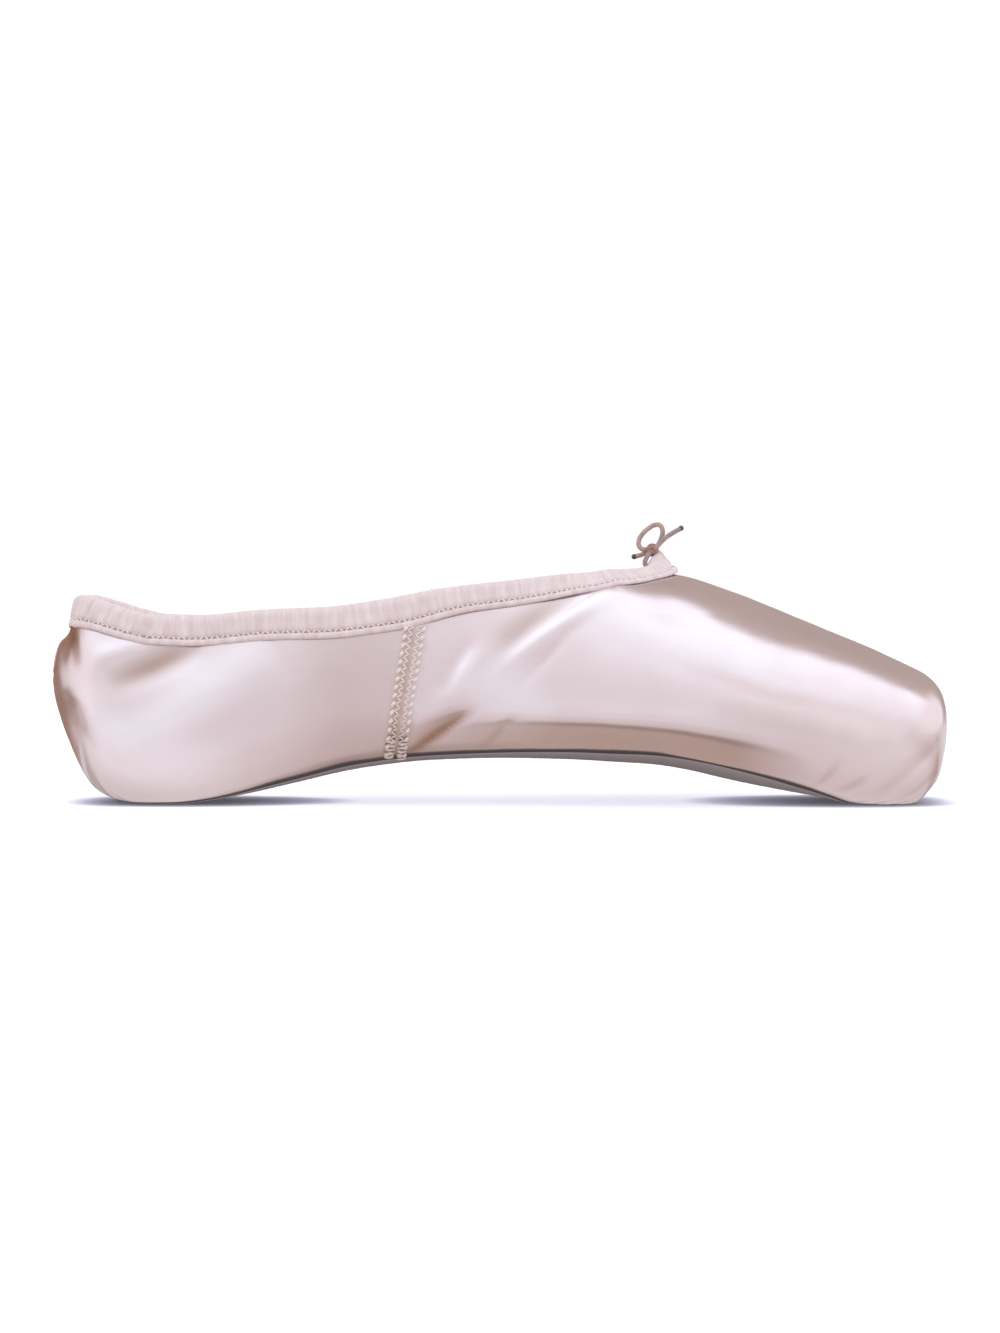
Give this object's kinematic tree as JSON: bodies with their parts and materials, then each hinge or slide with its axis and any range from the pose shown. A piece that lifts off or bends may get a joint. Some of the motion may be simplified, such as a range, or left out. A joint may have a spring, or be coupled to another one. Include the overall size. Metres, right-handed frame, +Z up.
{
  "type": "pointe shoe",
  "caption": "Empty satin pointe shoe standing on its sole: hollow upper with a stiff toe box, leaf-shaped suede outsole, insole, cotton drawstring casing and a small bow at the throat.",
  "frame": {"origin": "on the floor, under the middle of the shoe's length and width", "axes": "+X from the heel to the toe, +Y across the shoe, +Z up"},
  "size_m": [0.2406, 0.076, 0.0751],
  "materials": {
    "satin": "pale pink satin with a pearly gloss",
    "suede": "grey suede, matte",
    "lining": "plain cotton, matte",
    "cotton": "pink cotton twill, matte",
    "cord": "twisted cotton cord, matte"
  },
  "bodies": {
    "root": {"upper": "satin", "outsole": "suede", "insole": "lining", "binding": "cotton", "drawstring_knot": "cord", "drawstring_lead_near": "cord", "drawstring_lead_far": "cord", "drawstring_loop": "cord", "drawstring_end_near": "cord", "drawstring_end_far": "cord"}
  },
  "joints": []
}
